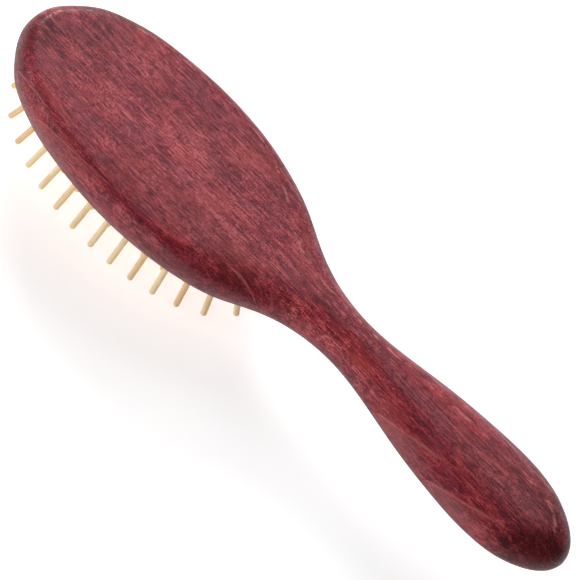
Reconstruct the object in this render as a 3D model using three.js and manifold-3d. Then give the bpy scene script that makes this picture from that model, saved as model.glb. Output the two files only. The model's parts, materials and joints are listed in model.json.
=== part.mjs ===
// Oval pneumatic hairbrush: a beech body, a domed rubber air cushion and turned wooden pins.
// Millimetres, +Z up. The brush stands on its pins with its back up and its handle towards +X.
import * as THREE from 'three';
import { ParametricGeometry } from 'three/addons/geometries/ParametricGeometry.js';
import { mergeVertices } from 'three/addons/utils/BufferGeometryUtils.js';
import Module from 'manifold-3d';

const wasm = await Module();
wasm.setup();

// Body, seen from above: half widths along its length, from the head's tip to the handle's end.
const brushLength = 225;
const headTipX = -brushLength / 2;
const handleEndX = brushLength / 2;
const halfOutline = [
  [-111.3, 6.3], [-105.4, 14.7], [-99.5, 19.6], [-87.6, 24.6], [-75.8, 27.1], [-58, 28.7],
  [-40.2, 27.7], [-28.4, 25.5], [-16.5, 21.6], [-4.7, 15.4], [7.2, 10.5], [22, 8.25],
  [36.8, 9.85], [54.6, 13.35], [72.3, 15.5], [84.2, 16], [96, 14.4], [105.5, 10.1], [110.8, 5.2],
];

// Body, seen from the side: heights above the head's widest level, smoothly joined along x.
const headTop = 5.5;
const headFace = -8.4;
const topHeights = [[headTipX, headTop], [-20, headTop], [22, 6.3], [84, 6.5], [handleEndX, 6.2]];
const edgeHeights = [[headTipX, -1.4], [-85, 0], [-20, 0], [22, -0.9], [84, -1.8], [handleEndX, -2.4]];
const faceHeights = [[headTipX, headFace], [-20, headFace], [22, -8.1], [84, -10.1], [handleEndX, -10.4]];

// Rounded edges: how far in from the outline the head's back and face begin, and where they turn into the
// neck, which is round all over.
const backEdge = { round: 4.8, neckStartX: -40, neckEndX: 12 };
const faceEdge = { round: 3.6, neckStartX: -14, neckEndX: 22 };
const handleDomeX = 97;
const outlineSteps = 60;
const roundSteps = 6;

// Air cushion: an ellipse in plan, held by a bead in a groove of the recess.
const cushionX = -57;
const cushionA = 47.5;
const cushionB = 23.8;
const cushionGap = 0.3;
const rubberThickness = 1.2;
const domeHeight = 6.6;
const domePower = 2.5;
const domeShares = [1, 0.75, 0.55, 0.38, 0.24, 0.12, 0.04];
const beadWidth = 1.3;
const beadTop = 3.4;
const beadBottom = 1.4;
const grooveDepth = beadWidth + cushionGap;
const recessDepth = 6.5;
const ventRadius = 1;
const ventOffset = 40.5;
const ringSegments = 56;

// Pins: a round-tipped shank with a wider foot behind the rubber.
const pinRadius = 1;
const pinLength = 17.3;
const pinTipRound = 0.8;
const tipShoulderRadius = 0.72;
const tipShoulderDepth = 0.24;
const footRadius = 1.8;
const footThickness = 1;
const footGap = 0.6;
const pinHoleRadius = pinRadius + cushionGap;
const holeCutterLength = 7.2;
const pinSegments = 8;
const rings = [
  { name: 'outer_pin', count: 28, start: 0.5, a: 42.4, b: 20.2, sideSplay: 17.5, endSplay: 25 },
  { name: 'inner_pin', count: 21, start: 0, a: 32.2, b: 10.7, sideSplay: 9, endSplay: 12 },
];
const centreCount = 8;
const centrePitch = 6.8;

const standHeight = -headFace + domeHeight + pinLength;

// Solids are cut past an open face by the overrun, and corners closer than the tolerance are one corner.
const cutOverrun = 1;
const mergeTolerance = 1e-4;
const barAxis = new THREE.Vector3(0, 1, 0);

const materials = {
  beech: new THREE.MeshStandardMaterial({ color: 0x913f46, roughness: 0.45, metalness: 0 }),
  rubber: new THREE.MeshStandardMaterial({ color: 0xb4462f, roughness: 0.6, metalness: 0 }),
  pinWood: new THREE.MeshStandardMaterial({ color: 0xe3cda2, roughness: 0.5, metalness: 0 }),
};

// Smooth step from a to b, as a share from 0 to 1.
function smooth(x, a, b) {
  return THREE.MathUtils.smoothstep(x, a, b);
}

// A height along the brush, level at each key place and smooth between them.
function heightAt(keys, x) {
  const next = Math.max(1, keys.findIndex(([keyX]) => x <= keyX));
  const [x0, z0] = keys[next - 1];
  const [x1, z1] = keys[next];
  return THREE.MathUtils.lerp(z0, z1, smooth(x, x0, x1));
}

// The whole outline as one closed curve, so that both ends are round.
function makeOutline() {
  const side = halfOutline.map(([x, y]) => new THREE.Vector3(x, y, 0));
  const mirrored = halfOutline.map(([x, y]) => new THREE.Vector3(x, -y, 0)).reverse();
  const tip = new THREE.Vector3(headTipX, 0, 0);
  const end = new THREE.Vector3(handleEndX, 0, 0);
  return new THREE.CatmullRomCurve3([tip, ...side, end, ...mirrored], true, 'centripetal');
}

// Where the rounded edge that starts at one outline point ends, on the flat of the head or on the axis.
function insetPoint(point, tangent, { round, neckStartX, neckEndX }) {
  const neck = smooth(point.x, neckStartX, neckEndX);
  const headY = Math.max(0, point.y - tangent.x * round);
  const headX = point.x + tangent.y * round;
  const axisX = Math.min(point.x, handleDomeX);
  return new THREE.Vector2(
    THREE.MathUtils.lerp(headX, axisX, neck),
    THREE.MathUtils.lerp(headY, 0, neck),
  );
}

// One half section of the body, from the middle of its back round its edge to the middle of its face.
function sectionPoints(outline, share) {
  const point = outline.getPoint(share / 2);
  const tangent = outline.getTangent(share / 2);
  point.y = Math.max(0, point.y);
  const edgeZ = heightAt(edgeHeights, point.x);
  const points = [];
  for (let step = roundSteps; step >= -roundSteps; step -= 1) {
    const angle = (step / roundSteps) * (Math.PI / 2);
    const inset = insetPoint(point, tangent, step < 0 ? faceEdge : backEdge);
    const level = heightAt(step < 0 ? faceHeights : topHeights, inset.x);
    const inward = 1 - Math.cos(angle);
    points.push(new THREE.Vector3(
      THREE.MathUtils.lerp(point.x, inset.x, inward),
      THREE.MathUtils.lerp(point.y, inset.y, inward),
      edgeZ + (level - edgeZ) * Math.abs(Math.sin(angle)),
    ));
  }
  return points;
}

// The body before its recess is cut: half sections and their mirror images, joined round the brush.
function bodyGeometry() {
  const outline = makeOutline();
  const sections = [];
  for (let i = 0; i <= outlineSteps; i += 1) {
    const half = sectionPoints(outline, i / outlineSteps);
    const mirrored = half.map((p) => new THREE.Vector3(p.x, -p.y, p.z)).reverse();
    sections.push([...half, ...mirrored, half[0]]);
  }
  const around = sections[0].length - 1;
  return new ParametricGeometry((u, v, target) => {
    const section = sections[Math.round(u * outlineSteps)];
    target.copy(section[Math.round(v * around)]);
  }, outlineSteps, around);
}

// A geometry as a solid for joining and cutting: shared corners merged and collapsed faces left out.
function toSolid(geometry) {
  const bare = geometry.clone();
  bare.deleteAttribute('normal');
  bare.deleteAttribute('uv');
  const merged = mergeVertices(bare, mergeTolerance);
  const index = merged.index.array;
  const corners = [];
  for (let i = 0; i < index.length; i += 3) {
    const [a, b, c] = [index[i], index[i + 1], index[i + 2]];
    if (a !== b && b !== c && c !== a) corners.push(a, b, c);
  }
  const mesh = new wasm.Mesh({
    numProp: 3,
    vertProperties: new Float32Array(merged.attributes.position.array),
    triVerts: new Uint32Array(corners),
  });
  return new wasm.Manifold(mesh);
}

// A solid back as a geometry.
function toGeometry(solid) {
  const mesh = solid.getMesh();
  const geometry = new THREE.BufferGeometry();
  geometry.setAttribute('position', new THREE.BufferAttribute(mesh.vertProperties, 3));
  geometry.setIndex(new THREE.BufferAttribute(mesh.triVerts, 1));
  geometry.computeVertexNormals();
  return geometry;
}

// A flat oval block between two heights, grown outwards from the cushion's ellipse.
function ovalBlock(growth, bottom, top) {
  const shape = new THREE.Shape();
  shape.absellipse(cushionX, 0, cushionA + growth, cushionB + growth, 0, 2 * Math.PI);
  const geometry = new THREE.ExtrudeGeometry(shape, {
    depth: top - bottom,
    bevelEnabled: false,
    curveSegments: ringSegments / 2,
  });
  return toSolid(geometry.translate(0, 0, bottom));
}

function makeBrushBody() {
  const recess = ovalBlock(0, headFace - cutOverrun, headFace + recessDepth);
  const groove = ovalBlock(
    grooveDepth,
    headFace + beadBottom - cushionGap,
    headFace + beadTop + cushionGap,
  );
  return toGeometry(toSolid(bodyGeometry()).subtract(recess).subtract(groove));
}

// How far the rubber stands below the head's face, at a distance in from the cushion's edge.
function domeAt(inset) {
  const share = THREE.MathUtils.clamp(inset / cushionB, 0, 1);
  return domeHeight * (1 - (1 - share) ** domePower);
}

// The rubber's section as [distance in from the edge, height]: outer skin, bead, inner skin.
function rubberSection() {
  const outer = domeShares.map((share) => {
    const inset = share * cushionB;
    return [inset, headFace - domeAt(inset)];
  });
  const inner = outer.map(([inset, z]) => [inset, z + rubberThickness]).reverse();
  const wallOut = cushionGap;
  const wallIn = cushionGap + rubberThickness;
  const bead = [
    [wallOut, headFace], [wallOut, headFace + beadBottom], [wallOut - beadWidth, headFace + beadBottom],
    [wallOut - beadWidth, headFace + beadTop], [wallIn, headFace + beadTop],
    [wallIn, headFace + rubberThickness],
  ];
  const innerSkin = inner.filter(([inset]) => inset > wallIn);
  return [...outer, ...bead, ...innerSkin];
}

// The rubber before its holes are cut: its section swept round the ellipse.
function rubberGeometry() {
  const section = rubberSection();
  const last = section.length - 1;
  return new ParametricGeometry((u, v, target) => {
    const [inset, z] = section[Math.round(v * last)];
    const angle = u * 2 * Math.PI;
    target.set(
      cushionX + (cushionA - inset) * Math.cos(angle),
      (cushionB - inset) * Math.sin(angle),
      z,
    );
  }, ringSegments, last);
}

// A round bar for cutting a hole, its middle at a point and its axis along a direction.
function holeCutter(radius, place) {
  const bar = new THREE.CylinderGeometry(radius, radius, holeCutterLength, pinSegments);
  bar.applyQuaternion(place.turn);
  bar.translate(place.base.x, place.base.y, place.base.z);
  return toSolid(bar);
}

function makeRubberCushion(places) {
  const vent = {
    base: new THREE.Vector3(cushionX + ventOffset, 0, headFace - domeAt(cushionA - ventOffset)),
    turn: new THREE.Quaternion().setFromUnitVectors(barAxis, new THREE.Vector3(0, 0, 1)),
  };
  let solid = toSolid(rubberGeometry());
  for (const place of places) solid = solid.subtract(holeCutter(pinHoleRadius, place));
  return toGeometry(solid.subtract(holeCutter(ventRadius, vent)));
}

// A turned pin along +Y, with the rubber's outer skin at y = 0 and the round tip at the top.
function pinGeometry() {
  const footTop = -rubberThickness - footGap;
  const profile = [
    [0, footTop - footThickness], [footRadius, footTop - footThickness], [footRadius, footTop],
    [pinRadius, footTop], [pinRadius, pinLength - pinTipRound],
    [tipShoulderRadius, pinLength - tipShoulderDepth], [0, pinLength],
  ];
  return new THREE.LatheGeometry(profile.map(([r, y]) => new THREE.Vector2(r, y)), pinSegments);
}

// Where a pin leaves the rubber, and which way it points: down, and out by its splay.
function pinPlace(name, x, y, inset, outward, splay) {
  const direction = new THREE.Vector3(
    outward.x * Math.sin(splay),
    outward.y * Math.sin(splay),
    -Math.cos(splay),
  );
  return {
    name,
    base: new THREE.Vector3(cushionX + x, y, headFace - domeAt(inset)),
    turn: new THREE.Quaternion().setFromUnitVectors(barAxis, direction),
  };
}

// The pins of one oval ring, evenly spaced along it from its end near the handle.
function ringPlaces({ name, count, start, a, b, sideSplay, endSplay }) {
  const ring = new THREE.EllipseCurve(0, 0, a, b, 0, 2 * Math.PI);
  const places = [];
  for (let i = 0; i < count; i += 1) {
    const point = ring.getPointAt((i + start) / count);
    const outward = new THREE.Vector2(point.x / a ** 2, point.y / b ** 2).normalize();
    const splay = THREE.MathUtils.lerp(sideSplay, endSplay, outward.x ** 2) * THREE.MathUtils.DEG2RAD;
    const label = `${name}_${String(i + 1).padStart(2, '0')}`;
    places.push(pinPlace(label, point.x, point.y, cushionB - b, outward, splay));
  }
  return places;
}

// The straight row of pins along the middle.
function centrePlaces() {
  const places = [];
  for (let i = 0; i < centreCount; i += 1) {
    const x = (i - (centreCount - 1) / 2) * centrePitch;
    places.push(pinPlace(`centre_pin_${i + 1}`, x, 0, cushionB, new THREE.Vector2(0, 0), 0));
  }
  return places;
}

function addMesh(parent, name, geometry, material) {
  const mesh = new THREE.Mesh(geometry, material);
  mesh.name = name;
  parent.add(mesh);
  return mesh;
}

const brush = new THREE.Group();
brush.name = 'pneumatic_hairbrush';
brush.position.z = standHeight;

const places = [...rings.flatMap(ringPlaces), ...centrePlaces()];
addMesh(brush, 'brush_body', makeBrushBody(), materials.beech);
addMesh(brush, 'rubber_cushion', makeRubberCushion(places), materials.rubber);
for (const place of places) {
  const pin = addMesh(brush, place.name, pinGeometry(), materials.pinWood);
  pin.position.copy(place.base);
  pin.quaternion.copy(place.turn);
}

const group = new THREE.Group();
group.add(brush);

export default group;
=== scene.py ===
# The looks of an oval pneumatic hairbrush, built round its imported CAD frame: metres, +Z up, handle to +X.
import json
import math

import bmesh
import bpy
import numpy as np
from mathutils import Matrix, Vector


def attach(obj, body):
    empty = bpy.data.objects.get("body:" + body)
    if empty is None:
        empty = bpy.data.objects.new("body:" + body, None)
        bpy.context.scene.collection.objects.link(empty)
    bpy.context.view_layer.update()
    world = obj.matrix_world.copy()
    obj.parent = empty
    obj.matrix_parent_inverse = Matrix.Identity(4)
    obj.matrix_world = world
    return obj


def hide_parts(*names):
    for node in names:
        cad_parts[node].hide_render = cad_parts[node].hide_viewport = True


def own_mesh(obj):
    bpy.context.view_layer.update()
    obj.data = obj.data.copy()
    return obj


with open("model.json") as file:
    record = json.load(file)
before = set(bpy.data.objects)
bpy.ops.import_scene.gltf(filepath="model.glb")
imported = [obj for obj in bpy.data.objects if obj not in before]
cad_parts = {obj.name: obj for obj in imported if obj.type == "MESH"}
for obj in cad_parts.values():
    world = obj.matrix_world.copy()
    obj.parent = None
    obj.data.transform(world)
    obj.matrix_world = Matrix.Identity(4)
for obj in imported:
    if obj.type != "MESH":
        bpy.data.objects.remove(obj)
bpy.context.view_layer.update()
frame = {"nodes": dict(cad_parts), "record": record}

MM = 0.001

# The camera: a long lens over the brush's back, turned so that the handle runs down to the right.
VIEW_AZIMUTH = math.radians(11.2)
VIEW_ELEVATION = math.radians(57.5)
HANDLE_SLOPE = math.radians(45.64)
VIEW_DISTANCE = 1.5
LENS = 315.9
AIM = Vector((-0.97, -0.9, 29.5)) * MM

# Body in plan: half widths in mm along its length, from the head's tip to the handle's end.
HEAD_TIP_X = -112.5
HANDLE_END_X = 112.5
HALF_OUTLINE = [
    (-111.3, 6.3), (-105.4, 14.7), (-99.5, 19.6), (-87.6, 24.6), (-75.8, 27.1), (-58, 28.7),
    (-40.2, 27.7), (-28.4, 25.5), (-16.5, 21.6), (-4.7, 15.4), (7.2, 10.5), (22, 8.25),
    (36.8, 9.85), (54.6, 13.35), (72.3, 15.5), (84.2, 16), (96, 14.4), (105.5, 10.1), (110.8, 5.2),
]

# Body from the side: heights in mm above the head's widest level, smoothly joined along x.
HEAD_TOP = 5.5
HEAD_FACE = -8.4
TOP_HEIGHTS = [(HEAD_TIP_X, HEAD_TOP), (-20, HEAD_TOP), (22, 6.3), (84, 6.5), (HANDLE_END_X, 6.2)]
EDGE_HEIGHTS = [(HEAD_TIP_X, -1.4), (-85, 0), (-20, 0), (22, -0.9), (84, -1.8), (HANDLE_END_X, -2.4)]
FACE_HEIGHTS = [(HEAD_TIP_X, HEAD_FACE), (-20, HEAD_FACE), (22, -8.1), (84, -10.1), (HANDLE_END_X, -10.4)]
BACK_EDGE = {"round": 4.8, "neck_start": -40, "neck_end": 12}
FACE_EDGE = {"round": 3.6, "neck_start": -14, "neck_end": 22}
HANDLE_DOME_X = 97
BACK_CROWN = 0.3
STATIONS = 220
HALF_SECTION_POINTS = 34
DENSE_SECTION_STEPS = 24
SHARP_WOOD = math.radians(32)

# The mesh attribute that says how far round the body's edge a place is.
BANK = "bank"

# Air cushion: an ellipse in plan, domed down from the head's face.
CUSHION_X = -57
CUSHION_A = 47.5
CUSHION_B = 23.8
CUSHION_GAP = 0.15
RUBBER_THICKNESS = 1.2
DOME_HEIGHT = 6.6
DOME_POWER = 2.5
DOME_RINGS = 64
RING_CROWDING = 0.8
OVAL_STEPS = 288
SHARP_RUBBER = math.radians(50)

# The rubber's bead, in mm above the head's face and outwards from the cushion's edge.
BEAD = {"low": 1.5, "high": 3.4, "reach": 1.3, "round": 0.1}

# The rubber stands up round each pin, inside a shallow dip: heights, distances and widths in mm.
COLLAR = {"height": 0.42, "width": 1.9}
DIP = {"depth": 0.1, "away": 3.4, "width": 1.2}

# The cushion's recess in the head: its mouth's edge and the groove for the bead.
RECESS_DEPTH = 6.5
MOUTH_ROUND = 0.5
MOUTH_STEPS = 6
GROOVE = {"low": 1.1, "high": 3.7, "depth": 1.6}
CUT_OVERRUN = 2

# Pins: a turned shank with a round tip and a foot behind the rubber. The taper is a list of
# distances from the tip and shares of the full radius.
PIN_LENGTH = 17.3
PIN_RADIUS = 1.0
TIP_RADIUS = 0.97
TIP_DEPTH = 0.85
TIP_STEPS = 8
SHANK_TAPER = [(3, 0.975), (8, 0.99)]
FOOT_RADIUS = 1.8
FOOT = {"neck": 1.6, "low": 1.8, "high": 2.8, "bevel": 0.15}
PIN_SEGMENTS = 28
PIN_TURN = 2.4
SHARP_PIN = math.radians(40)

# Heights above are measured from the head's widest level, which stands this far above the floor.
STAND = -HEAD_FACE + DOME_HEIGHT + PIN_LENGTH


def smooth(x, a, b):
    """Smooth step from 0 at a to 1 at b."""
    t = np.clip((x - a) / (b - a), 0, 1)
    return t * t * (3 - 2 * t)


def height_at(keys, x):
    """A height along the brush, level at each key place and smooth between them."""
    places = [key[0] for key in keys]
    i = int(np.clip(np.searchsorted(places, x), 1, len(keys) - 1))
    (x0, z0), (x1, z1) = keys[i - 1], keys[i]
    return z0 + (z1 - z0) * smooth(x, x0, x1)


def link(obj):
    bpy.context.scene.collection.objects.link(obj)
    return obj


def mesh_object(name, points, faces):
    """A smooth-shaded object from points in mm above the widest level, with coincident points merged."""
    mesh = bpy.data.meshes.new(name)
    mesh.from_pydata([(x * MM, y * MM, (z + STAND) * MM) for x, y, z in points], [], faces)
    bm = bmesh.new()
    bm.from_mesh(mesh)
    bmesh.ops.remove_doubles(bm, verts=bm.verts, dist=1e-6)
    bmesh.ops.dissolve_degenerate(bm, edges=bm.edges, dist=1e-7)
    bmesh.ops.recalc_face_normals(bm, faces=bm.faces)
    for face in bm.faces:
        face.smooth = True
    bm.to_mesh(mesh)
    bm.free()
    return link(bpy.data.objects.new(name, mesh))


def grid_faces(rows, columns):
    """Faces of a grid of rows by columns points whose columns close on themselves."""
    faces = []
    for i in range(rows - 1):
        here, above = i * columns, (i + 1) * columns
        for j in range(columns):
            k = (j + 1) % columns
            faces.append((here + j, here + k, above + k, above + j))
    return faces


# ---- Brush body ----

def outline_curve(count):
    """Points and tangents along half of the outline, from a closed spline through both sides."""
    side = [(HEAD_TIP_X, 0), *HALF_OUTLINE, (HANDLE_END_X, 0)]
    loop = np.array(side + [(x, -y) for x, y in reversed(HALF_OUTLINE)], float)
    chord = np.linalg.norm(np.roll(loop, -1, 0) - loop, axis=1) ** 0.5
    n = len(loop)
    system, target = np.zeros((n, n)), np.zeros((n, 2))
    for i in range(n):
        before, after = chord[i - 1], chord[i]
        system[i, i - 1] += after
        system[i, i] += 2 * (before + after)
        system[i, (i + 1) % n] += before
        rise_after = (loop[(i + 1) % n] - loop[i]) / after
        rise_before = (loop[i] - loop[i - 1]) / before
        target[i] = 3 * (before * rise_after + after * rise_before)
    slopes = np.linalg.solve(system, target)
    knots = np.concatenate([[0], np.cumsum(chord)])
    half = len(side) - 1
    points, tangents = [], []
    for u in np.linspace(0, knots[half], count):
        i = int(np.clip(np.searchsorted(knots, u, side="right") - 1, 0, half - 1))
        h = chord[i]
        t = (u - knots[i]) / h
        a, b, ma, mb = loop[i], loop[(i + 1) % n], slopes[i] * h, slopes[(i + 1) % n] * h
        points.append(
            (2 * t**3 - 3 * t**2 + 1) * a + (t**3 - 2 * t**2 + t) * ma
            + (3 * t**2 - 2 * t**3) * b + (t**3 - t**2) * mb
        )
        tangent = (
            (6 * t**2 - 6 * t) * a + (3 * t**2 - 4 * t + 1) * ma
            + (6 * t - 6 * t**2) * b + (3 * t**2 - 2 * t) * mb
        )
        tangents.append(tangent / np.linalg.norm(tangent))
    return points, tangents


def inset_point(point, tangent, edge):
    """Where the rounded edge that starts at one outline point ends: on the head's flat or on the axis."""
    neck = smooth(point[0], edge["neck_start"], edge["neck_end"])
    head_x = point[0] + tangent[1] * edge["round"]
    head_y = max(0, point[1] - tangent[0] * edge["round"])
    axis_x = min(point[0], HANDLE_DOME_X)
    return np.array([head_x + (axis_x - head_x) * neck, head_y * (1 - neck)])


def half_section(point, tangent):
    """Evenly spaced points from the middle of the face round one edge to the middle of the back."""
    edge_z = height_at(EDGE_HEIGHTS, point[0])
    face_inset = inset_point(point, tangent, FACE_EDGE)
    back_inset = inset_point(point, tangent, BACK_EDGE)
    dense = [(face_inset[0], 0, height_at(FACE_HEIGHTS, face_inset[0]))]
    for step in range(-DENSE_SECTION_STEPS, DENSE_SECTION_STEPS + 1):
        angle = step / DENSE_SECTION_STEPS * math.pi / 2
        inset, keys = (face_inset, FACE_HEIGHTS) if step < 0 else (back_inset, TOP_HEIGHTS)
        inward = 1 - math.cos(angle)
        x, y = point + (inset - point) * inward
        level = height_at(keys, inset[0])
        dense.append((x, y, edge_z + (level - edge_z) * abs(math.sin(angle))))
    dense.append((back_inset[0], 0, height_at(TOP_HEIGHTS, back_inset[0])))
    dense = np.array(dense)
    length = np.concatenate([[0], np.cumsum(np.linalg.norm(np.diff(dense, axis=0), axis=1))])
    even = np.linspace(0, length[-1], HALF_SECTION_POINTS)
    return np.stack([np.interp(even, length, dense[:, k]) for k in range(3)], axis=1)


def crowned(points):
    """The back of the head is very slightly crowned, which fades out towards its edge and the neck."""
    x, y, z = points.T
    across = np.clip(1 - (y / (CUSHION_B + 1)) ** 2, 0, 1)
    along = np.clip(1 - ((x - CUSHION_X) / (CUSHION_A + 3)) ** 2, 0, 1)
    back = smooth(z, HEAD_TOP - 1, HEAD_TOP)
    return np.stack([x, y, z + BACK_CROWN * across * along * back], axis=1)


def make_body_blank():
    points, tangents = outline_curve(STATIONS)
    sections = []
    for point, tangent in zip(points, tangents):
        half = half_section(np.array([point[0], max(0, point[1])]), tangent)
        mirrored = (half * (1, -1, 1))[::-1]
        sections.append(np.concatenate([half, mirrored]))
    columns = 2 * HALF_SECTION_POINTS
    everything = crowned(np.concatenate(sections))
    return mesh_object("brush_body_fine", everything, grid_faces(STATIONS, columns))


def oval_ring(growth, z):
    """One closed ring of the cushion's oval, grown outwards, at a height."""
    angles = np.arange(OVAL_STEPS) / OVAL_STEPS * 2 * math.pi
    return np.stack([
        CUSHION_X + (CUSHION_A + growth) * np.cos(angles),
        (CUSHION_B + growth) * np.sin(angles),
        np.full(OVAL_STEPS, float(z)),
    ], axis=1)


def make_recess_cutter():
    """The cushion's recess as a solid: a rounded mouth, a wall, a groove for the bead and a flat floor."""
    below = HEAD_FACE - CUT_OVERRUN
    profile = [(-CUSHION_B, below), (MOUTH_ROUND, below)]
    for step in range(MOUTH_STEPS + 1):
        angle = step / MOUTH_STEPS * math.pi / 2
        outwards = MOUTH_ROUND * (1 - math.sin(angle))
        profile.append((outwards, HEAD_FACE + MOUTH_ROUND * (1 - math.cos(angle))))
    low, high = HEAD_FACE + GROOVE["low"], HEAD_FACE + GROOVE["high"]
    profile += [(0, low), (GROOVE["depth"], low), (GROOVE["depth"], high), (0, high)]
    profile += [(0, HEAD_FACE + RECESS_DEPTH), (-CUSHION_B, HEAD_FACE + RECESS_DEPTH)]
    rings = np.concatenate([oval_ring(growth, z) for growth, z in profile])
    return mesh_object("recess_cutter", rings, grid_faces(len(profile), OVAL_STEPS))


def apply_modifiers(obj):
    """The object's evaluated mesh becomes its own, so no modifier is left on it."""
    graph = bpy.context.evaluated_depsgraph_get()
    mesh = bpy.data.meshes.new_from_object(obj.evaluated_get(graph))
    obj.modifiers.clear()
    obj.data = mesh


def mark_bank(body):
    """Stores how far round the edge each corner is: 0 on the widest line, 1 on the back, -1 on the face."""
    values = []
    for vertex in body.data.vertices:
        x, z = vertex.co.x / MM, vertex.co.z / MM - STAND
        widest = height_at(EDGE_HEIGHTS, x)
        rise = (z - widest) / abs(height_at(TOP_HEIGHTS if z > widest else FACE_HEIGHTS, x) - widest)
        values.append(math.asin(float(np.clip(rise, -1, 1))) / (math.pi / 2))
    layer = body.data.attributes.new(BANK, "FLOAT", "POINT")
    layer.data.foreach_set("value", values)


def make_body(material):
    body = make_body_blank()
    cutter = make_recess_cutter()
    cut = body.modifiers.new("recess", "BOOLEAN")
    cut.operation = "DIFFERENCE"
    cut.solver = "EXACT"
    cut.object = cutter
    apply_modifiers(body)
    bpy.data.objects.remove(cutter)
    for polygon in body.data.polygons:
        polygon.use_smooth = True
    body.data.set_sharp_from_angle(angle=SHARP_WOOD)
    mark_bank(body)
    body.data.materials.clear()
    body.data.materials.append(material)
    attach(body, "brush")
    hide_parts("brush_body")


# ---- Pins ----

def pin_places():
    """Each CAD pin's foot end and direction, found from its own corners."""
    places = {}
    for name, node in frame["nodes"].items():
        if "_pin_" not in name:
            continue
        corners = np.array([v.co for v in node.data.vertices], float)
        middle = corners.mean(0)
        axis = np.linalg.svd(corners - middle)[2][0]
        axis = axis if axis[2] < 0 else -axis
        along = (corners - middle) @ axis
        places[name] = (middle + axis * along.max(), axis)
    return places


def pin_profile():
    """Radius and distance from the round tip, in mm."""
    profile = []
    for step in range(TIP_STEPS + 1):
        angle = step / TIP_STEPS * math.pi / 2
        profile.append((TIP_RADIUS * PIN_RADIUS * math.sin(angle), TIP_DEPTH * (1 - math.cos(angle))))
    profile += [(share * PIN_RADIUS, away) for away, share in SHANK_TAPER]
    low, high, bevel = PIN_LENGTH + FOOT["low"], PIN_LENGTH + FOOT["high"], FOOT["bevel"]
    profile += [(PIN_RADIUS, PIN_LENGTH + FOOT["neck"]), (FOOT_RADIUS - bevel, low)]
    profile += [(FOOT_RADIUS, low + bevel), (FOOT_RADIUS, high - bevel)]
    return profile + [(FOOT_RADIUS - bevel, high), (0, high)]


def make_pin_mesh():
    """One turned pin in metres, its round tip at the origin and its foot up +Z."""
    bm = bmesh.new()
    verts = [bm.verts.new((r * MM, 0, z * MM)) for r, z in pin_profile()]
    edges = [bm.edges.new(pair) for pair in zip(verts, verts[1:])]
    bmesh.ops.spin(bm, geom=verts + edges, cent=(0, 0, 0), axis=(0, 0, 1), angle=2 * math.pi,
                   steps=PIN_SEGMENTS, use_duplicate=False)
    bmesh.ops.remove_doubles(bm, verts=bm.verts, dist=1e-7)
    bmesh.ops.recalc_face_normals(bm, faces=bm.faces)
    for face in bm.faces:
        face.smooth = True
    mesh = bpy.data.meshes.new("turned_pin")
    bm.to_mesh(mesh)
    bm.free()
    mesh.set_sharp_from_angle(angle=SHARP_PIN)
    return mesh


def make_pins(material):
    """All the pins share one mesh, each turned differently about its own axis."""
    mesh = make_pin_mesh()
    mesh.materials.append(material)
    bodies = frame["record"]["behaviour"]["bodies"]
    body_of = {node: body for body, nodes in bodies.items() for node in nodes}
    for index, (name, (tip, axis)) in enumerate(sorted(pin_places().items())):
        pin = link(bpy.data.objects.new("turned_" + name, mesh))
        lean = Vector((0, 0, 1)).rotation_difference(Vector(-axis)).to_matrix().to_4x4()
        turn = Matrix.Rotation(index * PIN_TURN, 4, "Z")
        pin.matrix_world = Matrix.Translation(Vector(tip)) @ lean @ turn
        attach(pin, body_of[name])
        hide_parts(name)


# ---- Rubber cushion ----

def dome_at(inset):
    """How far the rubber stands below the head's face, at a distance in from the cushion's edge."""
    share = np.clip(inset / CUSHION_B, 0, 1)
    return DOME_HEIGHT * (1 - (1 - share) ** DOME_POWER)


def rubber_section():
    """The rubber's section as distance in from the edge and height: outer skin, bead, inner skin."""
    insets = (1 - np.linspace(0, 1, DOME_RINGS) ** RING_CROWDING) * CUSHION_B
    outer = [(max(inset, CUSHION_GAP), HEAD_FACE - dome_at(inset)) for inset in insets]
    low, high = HEAD_FACE + BEAD["low"], HEAD_FACE + BEAD["high"]
    rim, wall = CUSHION_GAP - BEAD["reach"], CUSHION_GAP + RUBBER_THICKNESS
    bead = [(CUSHION_GAP, low), (rim + BEAD["round"], low + BEAD["round"]), (rim, high - BEAD["round"]),
            (wall, high), (wall, HEAD_FACE + RUBBER_THICKNESS)]
    inner = [(inset, z + RUBBER_THICKNESS) for inset, z in reversed(outer) if inset > 2 * RUBBER_THICKNESS]
    return outer + bead + inner


def collars(points, places):
    """The rubber stands up a little round each pin, where the foot behind it pushes it out."""
    raised = points.copy()
    for tip, axis in places.values():
        offset = points - (np.array(tip) / MM - (0, 0, STAND))
        away = np.linalg.norm(offset - np.outer(offset @ axis, axis), axis=1)
        raised[:, 2] -= COLLAR["height"] * np.exp(-((away / COLLAR["width"]) ** 2))
        raised[:, 2] += DIP["depth"] * np.exp(-(((away - DIP["away"]) / DIP["width"]) ** 2))
    return raised


def make_cushion(material):
    section = rubber_section()
    rings = np.concatenate([oval_ring(-inset, z) for inset, z in section])
    skin = DOME_RINGS * OVAL_STEPS
    rings[:skin] = collars(rings[:skin], pin_places())
    cushion = mesh_object("rubber_cushion_fine", rings, grid_faces(len(section), OVAL_STEPS))
    cushion.data.set_sharp_from_angle(angle=SHARP_RUBBER)
    cushion.data.materials.append(material)
    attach(cushion, "brush")
    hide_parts("rubber_cushion")
    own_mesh(cushion)


# ---- Materials ----

def colour(red, green, blue):
    """An sRGB colour from 0 to 255 as the linear RGBA that a shader takes."""
    def linear(channel):
        share = channel / 255
        return share / 12.92 if share <= 0.04045 else ((share + 0.055) / 1.055) ** 2.4
    return (linear(red), linear(green), linear(blue), 1.0)


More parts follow.
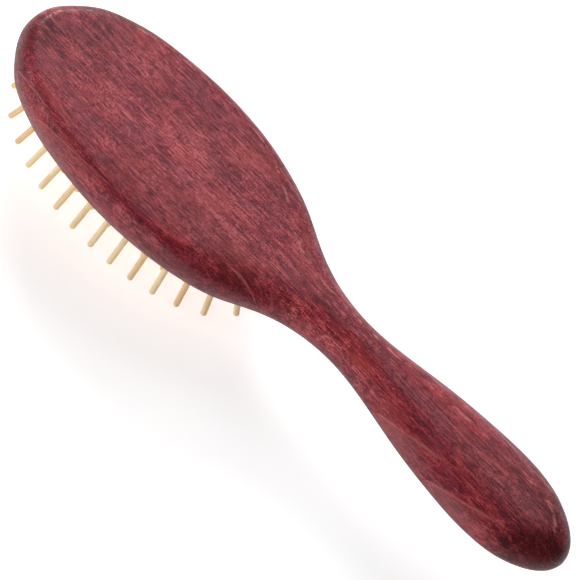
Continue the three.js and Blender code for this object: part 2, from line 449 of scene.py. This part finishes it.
class Graph:
    """A material's node tree, with short calls for the nodes that this script uses."""

    def __init__(self, name):
        self.material = bpy.data.materials.new(name)
        self.material.use_nodes = True
        self.tree = self.material.node_tree
        self.shader = self.tree.nodes["Principled BSDF"]

    def add(self, kind, inputs=(), **settings):
        node = self.tree.nodes.new("ShaderNode" + kind)
        for key, value in settings.items():
            setattr(node, key, value)
        for key, value in dict(inputs).items():
            self.feed(node.inputs[key], value)
        return node

    def feed(self, socket, value):
        if isinstance(value, bpy.types.NodeSocket):
            self.tree.links.new(value, socket)
        else:
            socket.default_value = value

    def math(self, operation, a, b=0.0, clamp=False):
        return self.add("Math", {0: a, 1: b}, operation=operation, use_clamp=clamp).outputs[0]

    def times(self, first, *others):
        product = first
        for factor in others:
            product = self.math("MULTIPLY", product, factor)
        return product

    def swing(self, noise, width):
        """A noise from 0 to 1 as a swing of this width about 0."""
        return self.times(self.math("SUBTRACT", noise, 0.5), width)

    def place(self):
        """Place in the object's own frame, in millimetres."""
        coordinate = self.add("TexCoord").outputs["Object"]
        return self.scaled(coordinate, (1000, 1000, 1000))

    def scaled(self, vector, by):
        return self.add("VectorMath", {0: vector, 1: by}, operation="MULTIPLY").outputs[0]

    def shifted(self, vector, by):
        return self.add("VectorMath", {0: vector, 1: by}, operation="ADD").outputs[0]

    def split(self, vector):
        parts = self.add("SeparateXYZ", {0: vector}).outputs
        return parts["X"], parts["Y"], parts["Z"]

    def noise(self, name, place):
        """One of the NOISES, from 0 to 1, at a place."""
        shift, stretch, detail, roughness = NOISES[name]
        vector = self.scaled(self.shifted(place, shift), stretch)
        inputs = {"Vector": vector, "Scale": 1.0, "Detail": detail, "Roughness": roughness}
        return self.add("TexNoise", inputs).outputs["Fac"]

    def ramp(self, value, low, high, to_low=0.0, to_high=1.0, kind="SMOOTHSTEP"):
        inputs = {"Value": value, "From Min": low, "From Max": high, "To Min": to_low, "To Max": to_high}
        return self.add("MapRange", inputs, interpolation_type=kind).outputs["Result"]

    def mix(self, share, a, b):
        """A colour from a, where the share is 0, to b. Sockets 6 and 7 are the node's colours."""
        node = self.add("Mix", {0: share, 6: a, 7: b}, data_type="RGBA")
        return node.outputs[2]

    def step(self, name, value):
        """One of the STEPS, taken by a value."""
        return self.ramp(value, *STEPS[name])

    def tinted(self, share, base, tint):
        return self.mix(share, base, colour(*tint))

    def gained(self, share, base, gain):
        return self.mix(share, base, self.scaled(base, gain))

    def palette(self, value, stops):
        """A colour ramp through (place, sRGB colour) stops."""
        node = self.add("ValToRGB", {0: value})
        ramp = node.color_ramp
        while len(ramp.elements) < len(stops):
            ramp.elements.new(0.5)
        for element, (place, tint) in zip(ramp.elements, stops):
            element.position = place
            element.color = colour(*tint)
        return node.outputs["Color"]

    def bump(self, height, distance, strength):
        inputs = {"Height": height, "Distance": distance, "Strength": strength}
        return self.add("Bump", inputs).outputs["Normal"]

    def finish(self, **inputs):
        for key, value in inputs.items():
            self.feed(self.shader.inputs[key.replace("_", " ")], value)
        return self.material


# Noises from 0 to 1: shift in mm, features per mm along, across and up, detail and roughness.
NOISES = {
    "warp": ((0, 0, 0), (0.012, 0.04, 0.04), 1, 0.5),
    "ring_wander": ((0, 0, 0), (0.012, 0.05, 0.05), 1, 0.5),
    "long_lines": ((0, 0, 0), (0.12, 2.7, 2.7), 1, 0.5),
    "short_lines": ((9, 4, 6), (0.50, 3.2, 3.2), 1, 0.6),
    "specks": ((0, 0, 0), (1.9, 2.3, 2.3), 2, 0.6),
    "mottle": ((0, 0, 0), (0.28, 0.50, 0.50), 3, 0.6),
    "blotches": ((0, 0, 0), (0.055, 0.10, 0.10), 3, 0.6),
    "hue": ((31, 7, 3), (0.07, 0.14, 0.14), 3, 0.6),
    "pores": ((5, 11, 2), (0.36, 3.4, 3.4), 1, 0.5),
    "flecks": ((2, 17, 8), (0.30, 3.3, 3.3), 1, 0.5),
    "broken": ((3, 1, 14), (0.16, 0.5, 0.5), 3, 0.7),
    "pin_lines": ((0, 0, 0), (2.6, 2.6, 0.10), 3, 0.6),
    "pin_fine": ((0, 0, 0), (7.0, 7.0, 0.5), 2, 0.5),
    "pin_patch": ((0, 0, 0), (0.4, 0.4, 0.16), 2, 0.5),
    "rubber_cloud": ((0, 0, 0), (0.09, 0.09, 0.09), 4, 0.6),
    "rubber_grit": ((0, 0, 0), (2.2, 2.2, 2.2), 3, 0.7),
}

# Smooth steps: where each starts and ends, and the values there when they are not 0 and 1. The places
# are values of a noise, shares of a ring, mm along or across the brush, or heights round its edge.
STEPS = {
    "far_side": (-0.5, 0.5),
    "orange_hue": (0.50, 0.72, 0, 0.45),
    "grey_hue": (0.50, 0.30, 0, 0.45),
    "patch_edge": (1.25, 0.35),
    "late_wood": (0.60, 1.0, 0, 0.16),
    "line_start": (0.0, 0.03),
    "line_end": (0.12, 0.05),
    "line_gaps": (0.40, 0.60),
    "ring_opens": (0.0, 0.03),
    "ring_closes": (0.9, 0.3),
    "ring_inside": (0.0, 0.05),
    "rim_inner": (0.035, 0.005),
    "rim_outer": (-0.035, -0.005),
    "rim_closes": (1.0, 0.6),
    "pores": (0.60, 0.74),
    "pore_patches": (0.65, 0.40, 0.25, 0.65),
    "flecks": (0.62, 0.76, 0, 0.45),
    # Painted shade, partly stain: the near flank darker.
    "near_flank_stain_and_shade": (0.35, -0.15),
    # Painted shade: a dark band low on the flanks, just above the face.
    "low_edge_shade_drop": (-20, 30, 0.0, 0.31),
    "low_edge_shade": (-0.30, -0.48),
    "above_face": (-0.98, -0.85),
    # Painted shade: the far flank darker.
    "far_flank_shade": (0.44, 0.30),
    # Painted highlight, partly edge wear: a pale broken line along the far shoulder.
    "shoulder_line_height": (-20, 30, 0.86, 0.70),
    "shoulder_line_width": (0.06, 0.01),
    "shoulder_line_pieces": (0.50, 0.60),
    "shoulder_line_grain": (0.30, 0.55),
    "wood_gloss": (0.35, 0.65, 0.52, 0.40),
    "pin_shade": (0.15, 0.85),
    "pin_lines": (0.45, 0.7),
    "pin_fine": (0.5, 0.75),
    "pin_patch": (0.5, 0.8),
    "pin_gloss": (0.3, 0.7, 0.42, 0.55),
    "rubber_cloud": (0.35, 0.7),
    "rubber_grit": (0.55, 0.75),
    "rubber_gloss": (0.3, 0.7, 0.55, 0.72),
}


# ---- Stained beech ----

# Tones of the grain, from its darkest lines to its palest.
BEECH_TONES = [
    (0.28, (84, 16, 34)), (0.41, (126, 31, 48)), (0.50, (152, 46, 60)), (0.59, (173, 61, 72)),
    (0.74, (205, 95, 99)),
]
TONE_WEIGHTS = {"long_lines": 0.75, "short_lines": 0.62, "specks": 0.95, "mottle": 0.58, "blotches": 0.42}
GRAIN_SWING = 5.0
BEECH_GREY = (132, 62, 76)
BEECH_ORANGE = (184, 66, 62)
BEECH_DEEP = (124, 20, 38)
BEECH_PORE = (62, 22, 36)
BEECH_FLECK = (206, 104, 106)
# Painted shade: the dark colour laid low on the flanks and on the far flank.
BEECH_EDGE_SHADE = (58, 14, 30)
# Painted highlight, partly edge wear: the pale line along the far shoulder.
BEECH_WEAR_AND_HIGHLIGHT = (228, 142, 132)
# Painted shade, partly stain: how much darker the near flank is.
NEAR_FLANK_STAIN_AND_SHADE = (0.66, 0.60, 0.62)
# Shares of the painted shade low on the flanks and on the far flank, and of the painted highlight.
LOW_EDGE_SHADE_SHARE = 0.85
FAR_FLANK_SHADE_SHARE = 0.6
WEAR_AND_HIGHLIGHT_SHARE = 0.75
WOOD_RELIEF = 0.00006
LINE_RELIEF = 0.7
PORE_RELIEF = 0.6

# Growth rings, in mm: they stand on edge in the handle and lean over in the head.
RING_SPACING = 5.6
RING_START = -17.6
RING_DRIFT = 0.06
RING_WANDER = 5.0
RING_LEAN = (-90, 80, math.radians(53), math.radians(9))
RING_LINE_SHARE = 0.30

# Where the flank cuts growth rings: start along the brush, reach, height round the edge, paleness inside.
NEAR_RING_ENDS = [
    (43, 30, 0.66, 0.50), (67, 30, 0.60, 0.50), (-88, 34, 0.92, 0.32), (-103, 20, 0.85, 0.12),
    (-4, -18, 0.85, 0.06),
]
FAR_RING_ENDS = [
    (30, 34, 0.62, 0.45), (60, 32, 0.60, 0.45), (-94, 34, 0.80, 0.25), (-12, -22, 0.80, 0.08),
]
RING_PALE = (166, 92, 94)
RING_EDGE = (210, 116, 110)
RING_EDGE_SHARE = 0.55
RING_POINT = 0.5
EDGE_WAVES = 0.07

# Patches painted lighter or darker, partly uneven stain and partly painted shade: middle and half sizes in
# mm, and gain by colour.
STAIN_AND_SHADING_PATCHES = [
    ((-56, -3), (30, 12), (1.18, 1.36, 1.30)),
    ((-60, 0), (16, 6), (1.14, 1.18, 1.16)),
    ((-20, 4), (17, 7), (1.26, 1.26, 1.22)),
    ((-84, 6), (16, 10), (1.03, 1.10, 1.10)),
    ((-96, 15), (12, 7), (0.78, 0.74, 0.80)),
    ((-30, -13), (24, 6), (0.76, 0.62, 0.66)),
    # Painted shade: the dark band along the near shoulder of the head.
    ((-48, -21), (34, 5), (0.84, 0.60, 0.66)),
    # Painted shade: the dark streak down the neck's ridge, between its lit near flank and its top.
    ((14, -1.5), (26, 2), (0.70, 0.42, 0.54)),
    # Painted shade: the handle darker, most of all towards its end, where the light falls off.
    ((104, 0), (22, 18), (0.66, 0.62, 0.63)),
    ((62, 0), (44, 16), (0.86, 0.70, 0.76)),
]

# Patches on the flanks, partly stain and partly painted light and shade: which side, middle along the brush
# and round the edge, half sizes, and gain.
FLANK_STAIN_AND_SHADING_PATCHES = [
    # Painted light with an orange tint: the neck's near flank lighter, where the light falls on it.
    ("near", (22, 0.55), (15, 0.45), (1.45, 1.65, 1.35)),
    ("near", (4, 0.50), (5, 0.30), (1.35, 1.75, 1.35)),
    ("near", (38, 0.40), (14, 0.50), (1.08, 1.25, 1.18)),
    ("near", (-22, 0.15), (34, 0.60), (0.66, 0.50, 0.54)),
    # Partly stain, partly painted shade: the near flank darker at the head's tip and at the handle's end.
    ("near", (-107, 0.45), (8, 0.85), (0.50, 0.30, 0.36)),
    ("near", (105, 0.25), (15, 0.80), (0.48, 0.40, 0.42)),
    ("far", (52, 0.62), (34, 0.40), (1.28, 1.22, 1.20)),
    ("far", (-94, 0.55), (14, 0.60), (0.72, 0.66, 0.72)),
]
PATCH_RAGGED = 1.6


def growth_rings(g, place):
    """Distance through the growth rings, in rings."""
    x, y, z = g.split(place)
    lean = g.ramp(x, *RING_LEAN, kind="LINEAR")
    across = g.times(y, g.math("COSINE", lean))
    up = g.times(g.math("SUBTRACT", z, STAND), g.math("SINE", lean))
    depth = g.math("SUBTRACT", g.math("SUBTRACT", across, up), g.times(x, RING_DRIFT))
    depth = g.math("ADD", depth, g.swing(g.noise("ring_wander", place), RING_WANDER))
    return g.math("DIVIDE", g.math("SUBTRACT", depth, RING_START), RING_SPACING)


def oval_patch(g, point, middle, half, ragged):
    """1 inside an oval patch and 0 outside it, with a ragged soft edge."""
    offset = g.shifted(point, (-middle[0], -middle[1], 0))
    share = g.scaled(offset, (1 / half[0], 1 / half[1], 0))
    away = g.add("VectorMath", {0: share}, operation="LENGTH").outputs["Value"]
    return g.step("patch_edge", g.math("ADD", away, g.swing(ragged, PATCH_RAGGED)))


def ring_end(g, x, bank, start, reach, height):
    """Where the rounded flank cuts across a growth ring: the share inside it, and its outline."""
    along = g.math("DIVIDE", g.math("SUBTRACT", x, start), reach, clamp=True)
    depth = g.math("SUBTRACT", g.times(g.math("POWER", along, RING_POINT), height), bank)
    opened = g.step("ring_opens", along)
    inside = g.times(g.step("ring_inside", depth), opened, g.step("ring_closes", along))
    rim = g.times(g.step("rim_outer", depth), g.step("rim_inner", depth))
    return inside, g.times(rim, opened, g.step("rim_closes", along))


def grain_tone(g, noises):
    """How light the stained grain is, around 0.5: long lines, short lines, specks and soft clouds."""
    tone = 0.5
    for name, weight in TONE_WEIGHTS.items():
        tone = g.math("ADD", tone, g.swing(noises[name], weight))
    return tone


# Uneven stain, and painted light and shade, laid on in oval patches on the back and on the flanks.
def patched_stain_and_shading(g, base, place, round_edge, ragged, sides):
    for middle, half, gain in STAIN_AND_SHADING_PATCHES:
        base = g.gained(oval_patch(g, place, middle, half, ragged), base, gain)
    for side, middle, half, gain in FLANK_STAIN_AND_SHADING_PATCHES:
        inside = oval_patch(g, round_edge, middle, half, ragged)
        base = g.gained(g.times(inside, sides[side]), base, gain)
    return base


def ringed(g, base, place, wavy, noises, sides):
    """Growth rings: dark late wood, pale lines, and pale ends where the flank cuts them."""
    phase = g.math("FRACT", growth_rings(g, place))
    base = g.tinted(g.step("late_wood", phase), base, BEECH_DEEP)
    line = g.times(g.step("line_start", phase), g.step("line_end", phase))
    line = g.times(line, g.step("line_gaps", noises["short_lines"]), RING_LINE_SHARE)
    base = g.tinted(line, base, BEECH_TONES[-1][1])
    x = g.split(place)[0]
    for side, ends in (("near", NEAR_RING_ENDS), ("far", FAR_RING_ENDS)):
        for start, reach, height, paleness in ends:
            inside, rim = ring_end(g, x, wavy, start, reach, height)
            base = g.tinted(g.times(inside, sides[side], paleness), base, RING_PALE)
            base = g.tinted(g.times(rim, sides[side], RING_EDGE_SHARE), base, RING_EDGE)
    return base


def edged(g, base, x, bank, wavy, noises, sides):
    """Painted shade on the flanks: low above the face, on the near flank (partly stain) and on the far
    flank; and a pale broken line along the far shoulder, a painted highlight that is partly edge wear.
    """
    # Painted shade, partly stain: the near flank darker.
    base = g.gained(g.times(g.step("near_flank_stain_and_shade", bank), sides["near"]), base, NEAR_FLANK_STAIN_AND_SHADE)
    # Painted shade: a dark band low on the flanks, just above the face.
    low = g.math("SUBTRACT", bank, g.step("low_edge_shade_drop", x))
    low_shade = g.times(g.step("low_edge_shade", low), g.step("above_face", bank))
    base = g.tinted(g.times(low_shade, LOW_EDGE_SHADE_SHARE), base, BEECH_EDGE_SHADE)
    # Painted shade: the far flank darker.
    base = g.tinted(g.times(g.step("far_flank_shade", bank), sides["far"], FAR_FLANK_SHADE_SHARE), base, BEECH_EDGE_SHADE)
    # Painted highlight, partly edge wear: a pale broken line along the far shoulder.
    off = g.math("ABSOLUTE", g.math("SUBTRACT", wavy, g.step("shoulder_line_height", x)))
    wear_and_highlight = g.times(g.step("shoulder_line_width", off), g.step("shoulder_line_pieces", noises["broken"]), sides["far"])
    wear_and_highlight = g.times(wear_and_highlight, g.step("shoulder_line_grain", noises["short_lines"]), WEAR_AND_HIGHLIGHT_SHARE)
    return g.tinted(wear_and_highlight, base, BEECH_WEAR_AND_HIGHLIGHT)


def stained_beech():
    g = Graph("stained_beech")
    place = g.place()
    x, y, _ = g.split(place)
    bank = g.add("Attribute", attribute_name=BANK).outputs["Fac"]
    far = g.step("far_side", y)
    sides = {"near": g.math("SUBTRACT", 1.0, far), "far": far}
    bend = g.swing(g.noise("warp", place), GRAIN_SWING)
    grain = g.shifted(place, g.add("CombineXYZ", {"Y": bend}).outputs[0])
    along_grain = ("long_lines", "short_lines", "mottle", "pores", "flecks")
    noises = {name: g.noise(name, grain) for name in along_grain}
    noises |= {name: g.noise(name, place) for name in ("specks", "blotches", "hue", "broken")}

    tone = grain_tone(g, noises)
    base = g.palette(tone, BEECH_TONES)
    base = g.tinted(g.step("orange_hue", noises["hue"]), base, BEECH_ORANGE)
    base = g.tinted(g.step("grey_hue", noises["hue"]), base, BEECH_GREY)
    round_edge = g.add("CombineXYZ", {"X": x, "Y": bank}).outputs[0]
    # Patches of uneven stain, painted light and painted shade.
    base = patched_stain_and_shading(g, base, place, round_edge, noises["mottle"], sides)
    wavy = g.math("ADD", bank, g.swing(noises["mottle"], EDGE_WAVES))
    base = ringed(g, base, place, wavy, noises, sides)
    pore = g.times(g.step("pores", noises["pores"]), g.step("pore_patches", noises["blotches"]))
    base = g.tinted(pore, base, BEECH_PORE)
    base = g.tinted(g.step("flecks", noises["flecks"]), base, BEECH_FLECK)
    # Painted shade on the flanks and a painted highlight along the far shoulder.
    base = edged(g, base, x, bank, wavy, noises, sides)

    raised, sunk = g.times(noises["short_lines"], LINE_RELIEF), g.times(pore, PORE_RELIEF)
    normal = g.bump(g.math("SUBTRACT", raised, sunk), WOOD_RELIEF, 0.5)
    return g.finish(Base_Color=base, Roughness=g.step("wood_gloss", tone), Normal=normal,
                    Specular_IOR_Level=0.34)


# ---- Pin wood and rubber ----

PIN_SHADES = ((255, 228, 178), (243, 203, 146))
PIN_LINE = (226, 184, 126)
PIN_FLECK = (255, 246, 222)
PIN_DARK = (216, 172, 112)
PIN_LINE_SHARE = 0.5
PIN_FLECK_SHARE = 0.35
PIN_DARK_SHARE = 0.3
PIN_OFFSETS = (90.0, 37.0)
PIN_RELIEF = 0.00004

RUBBER_SHADES = ((150, 62, 44), (176, 82, 58))
RUBBER_DUST = (196, 122, 96)
RUBBER_DUST_SHARE = 0.4
RUBBER_RELIEF = 0.00005


def pale_pin_wood():
    """Pale wood that differs from pin to pin in shade and in its piece of grain."""
    g = Graph("pin_wood")
    each = g.add("ObjectInfo").outputs["Random"]
    along, aside = (g.times(each, offset) for offset in PIN_OFFSETS)
    inside = g.shifted(g.place(), g.add("CombineXYZ", {"X": along, "Y": aside}).outputs[0])
    lines, fine, patch = (g.noise(name, inside) for name in ("pin_lines", "pin_fine", "pin_patch"))
    base = g.tinted(g.step("pin_shade", each), colour(*PIN_SHADES[0]), PIN_SHADES[1])
    base = g.tinted(g.times(g.step("pin_lines", lines), PIN_LINE_SHARE), base, PIN_LINE)
    base = g.tinted(g.times(g.step("pin_fine", fine), PIN_FLECK_SHARE), base, PIN_FLECK)
    base = g.tinted(g.times(g.step("pin_patch", patch), PIN_DARK_SHARE), base, PIN_DARK)
    return g.finish(Base_Color=base, Roughness=g.step("pin_gloss", lines),
                    Normal=g.bump(fine, PIN_RELIEF, 0.4), Specular_IOR_Level=0.4)


def cushion_rubber():
    g = Graph("cushion_rubber")
    place = g.place()
    cloud, grit = g.noise("rubber_cloud", place), g.noise("rubber_grit", place)
    base = g.tinted(g.step("rubber_cloud", cloud), colour(*RUBBER_SHADES[0]), RUBBER_SHADES[1])
    base = g.tinted(g.times(g.step("rubber_grit", grit), RUBBER_DUST_SHARE), base, RUBBER_DUST)
    return g.finish(Base_Color=base, Roughness=g.step("rubber_gloss", grit),
                    Normal=g.bump(grit, RUBBER_RELIEF, 0.4), Specular_IOR_Level=0.35, Sheen_Weight=0.08)


# ---- Studio ----

SENSOR_WIDTH = 36
CLIP_END = 10
WHITE = (1, 1, 1, 1)
FLOOR_SIZE = 6
FLOOR_COLOUR = (0.9, 0.9, 0.9, 1)
FLOOR_GLOW = 0.65
LIGHT_DISTANCE = 1.2
LIGHT_SIZE = 0.62
LIGHT_TARGET = Vector((0, 0, 0.02))

# Round soft lights: direction from the brush as azimuth from -Y and elevation in degrees, and watts.
SOFT_LIGHTS = {
    "near_low": (0, 12, 3.0),
    "far_low": (180, 10, 1.0),
    "far_high": (180, 57, 2.9),
    "far_tip": (225, 30, 9.6),
    "near_tip": (315, 30, 4.2),
}


def direction(azimuth, elevation):
    """Away from the brush, by azimuth from -Y and elevation in radians."""
    level = math.cos(elevation)
    return Vector((math.sin(azimuth) * level, -math.cos(azimuth) * level, math.sin(elevation)))


def add_camera():
    back = direction(VIEW_AZIMUTH, VIEW_ELEVATION)
    length = Vector((1, 0, 0))
    along = (length - back * length.dot(back)).normalized()
    across = back.cross(along)
    right = along * math.cos(HANDLE_SLOPE) + across * math.sin(HANDLE_SLOPE)
    up = back.cross(right)
    data = bpy.data.cameras.new("camera")
    data.lens = LENS
    data.sensor_width = SENSOR_WIDTH
    data.clip_end = CLIP_END
    camera = link(bpy.data.objects.new("camera", data))
    turn = Matrix((right, up, back)).transposed().to_4x4()
    camera.matrix_world = Matrix.Translation(AIM + back * VIEW_DISTANCE) @ turn
    bpy.context.scene.camera = camera


def add_floor():
    bpy.ops.mesh.primitive_plane_add(size=FLOOR_SIZE, location=(0, 0, 0))
    floor = bpy.context.object
    floor.name = "studio_floor"
    g = Graph("studio_floor")
    floor.data.materials.append(g.finish(Base_Color=FLOOR_COLOUR, Roughness=0.9, Specular_IOR_Level=0.1,
                                         Emission_Color=WHITE, Emission_Strength=FLOOR_GLOW))


def add_soft_light(name, azimuth, elevation, power):
    towards = direction(math.radians(azimuth), math.radians(elevation))
    data = bpy.data.lights.new(name, "AREA")
    data.shape = "DISK"
    data.size = LIGHT_SIZE
    data.energy = power
    light = link(bpy.data.objects.new(name, data))
    light.location = LIGHT_TARGET + towards * LIGHT_DISTANCE
    light.rotation_mode = "QUATERNION"
    light.rotation_quaternion = (-towards).to_track_quat("-Z", "Y")


def add_world():
    """A pale backdrop past the floor, which only the camera sees."""
    world = bpy.data.worlds.new("studio")
    bpy.context.scene.world = world
    world.use_nodes = True
    background = world.node_tree.nodes["Background"]
    background.inputs["Color"].default_value = WHITE
    background.inputs["Strength"].default_value = FLOOR_GLOW
    for ray in ("diffuse", "glossy", "transmission", "scatter"):
        setattr(world.cycles_visibility, ray, False)


add_camera()
add_floor()
for light_name, light_settings in SOFT_LIGHTS.items():
    add_soft_light(light_name, *light_settings)
add_world()
bpy.context.scene.view_settings.view_transform = "Standard"
make_body(stained_beech())
make_cushion(cushion_rubber())
make_pins(pale_pin_wood())
